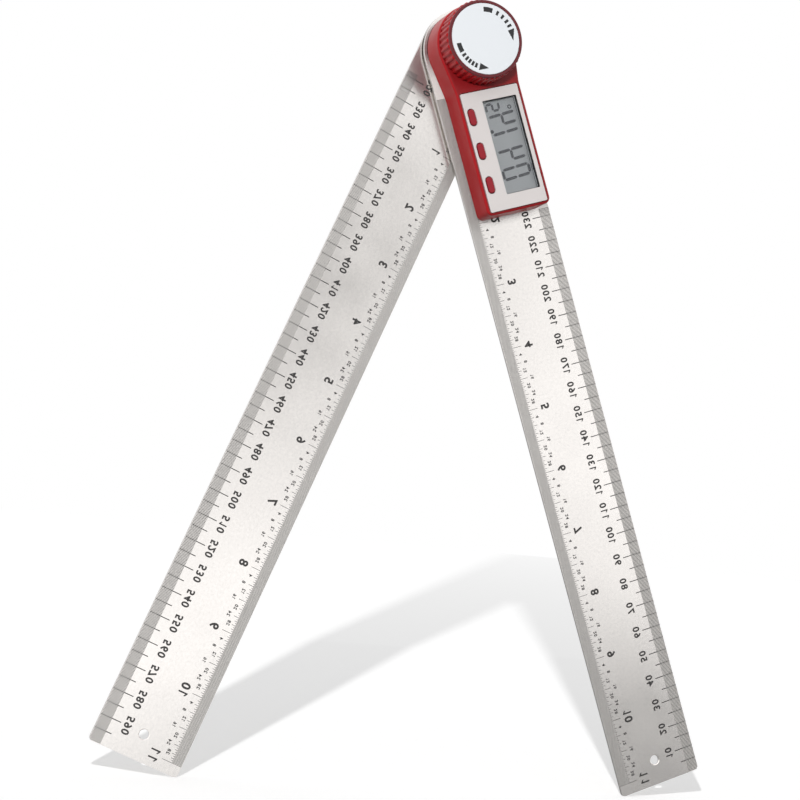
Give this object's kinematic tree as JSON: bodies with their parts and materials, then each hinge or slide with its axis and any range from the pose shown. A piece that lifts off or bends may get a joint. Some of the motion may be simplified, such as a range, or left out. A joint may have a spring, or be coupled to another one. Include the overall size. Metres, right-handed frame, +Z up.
{
  "type": "digital angle finder rule",
  "caption": "Folding angle finder: flat steel rules on a common pivot, with a display case and a ribbed lock knob.",
  "frame": {"origin": "on the pivot's axis, at the flat back face of the rear cap", "axes": "+Z up, midway between the arms as they stand opened on their tips; -Y out of the knob's face, +Y out of the back; +X towards the fixed arm"},
  "size_m": [0.2446, 0.0282, 0.3041],
  "materials": {
    "rule_steel": "lengthwise brushed",
    "screw_steel": "darkened",
    "case_red": "satin moulded",
    "button_red": "smooth",
    "faceplate_pale": "fine matt",
    "frame_black": "fine matt",
    "disc_white": "fine matt",
    "display_grey": "smooth",
    "lens_clear": "clear",
    "board_green": "solder mask",
    "brass": "turned",
    "connector_grey": "smooth",
    "nylon_natural": "smooth",
    "cell_steel": "plated"
  },
  "bodies": {
    "fixed_arm": {"fixed_rule": "rule_steel", "front_case": "case_red", "faceplate": "faceplate_pale", "lcd_panel": "display_grey", "lcd_frame": "frame_black", "lcd_lens": "lens_clear", "zebra_strip_1": "connector_grey", "zebra_strip_2": "connector_grey", "circuit_board": "board_green", "pivot_bushing": "nylon_natural", "friction_washer": "nylon_natural", "pivot_bolt": "screw_steel", "knob_washer": "screw_steel", "case_screw_1": "screw_steel", "case_screw_2": "screw_steel", "case_screw_3": "screw_steel", "case_screw_4": "screw_steel", "battery": "cell_steel", "battery_holder": "frame_black", "contact_plus": "brass", "contact_minus": "brass", "switch_dome_1": "cell_steel", "switch_dome_2": "cell_steel", "switch_dome_3": "cell_steel"},
    "moving_arm": {"moving_rule": "rule_steel", "pivot_hub": "brass", "encoder_rotor": "board_green", "rotor_clip": "screw_steel", "rear_cap": "case_red", "hub_screw_1": "screw_steel", "hub_screw_2": "screw_steel", "hub_screw_3": "screw_steel"},
    "knob": {"lock_knob": "case_red", "knob_insert": "brass", "knob_disc": "disc_white"},
    "battery_door": {"battery_cover": "frame_black"},
    "button_tip": {"button_3": "button_red"},
    "button_middle": {"button_2": "button_red"},
    "button_pivot": {"button_1": "button_red"}
  },
  "joints": [
    {"name": "arm_pivot", "type": "hinge", "parent": "fixed_arm", "child": "moving_arm", "pos_m": [0, -0.006, 0], "axis": [0, 1, 0], "continuous": true},
    {"name": "knob_turn", "type": "hinge", "parent": "fixed_arm", "child": "knob", "pos_m": [0, -0.0235, 0], "axis": [0, -1, 0], "range_deg": [0, 180]},
    {"name": "battery_cover_twist", "type": "hinge", "parent": "fixed_arm", "child": "battery_door", "pos_m": [0.01462, -0.0075, -0.03863], "axis": [0, 1, 0], "range_deg": [0, 60]},
    {"name": "button_1_press", "type": "slide", "parent": "fixed_arm", "child": "button_pivot", "axis": [0, 1, 0], "range_m": [0, 0.0006], "stiffness_N_per_m": 2000},
    {"name": "button_2_press", "type": "slide", "parent": "fixed_arm", "child": "button_middle", "axis": [0, 1, 0], "range_m": [0, 0.0006], "stiffness_N_per_m": 2000},
    {"name": "button_3_press", "type": "slide", "parent": "fixed_arm", "child": "button_tip", "axis": [0, 1, 0], "range_m": [0, 0.0006], "stiffness_N_per_m": 2000}
  ]
}
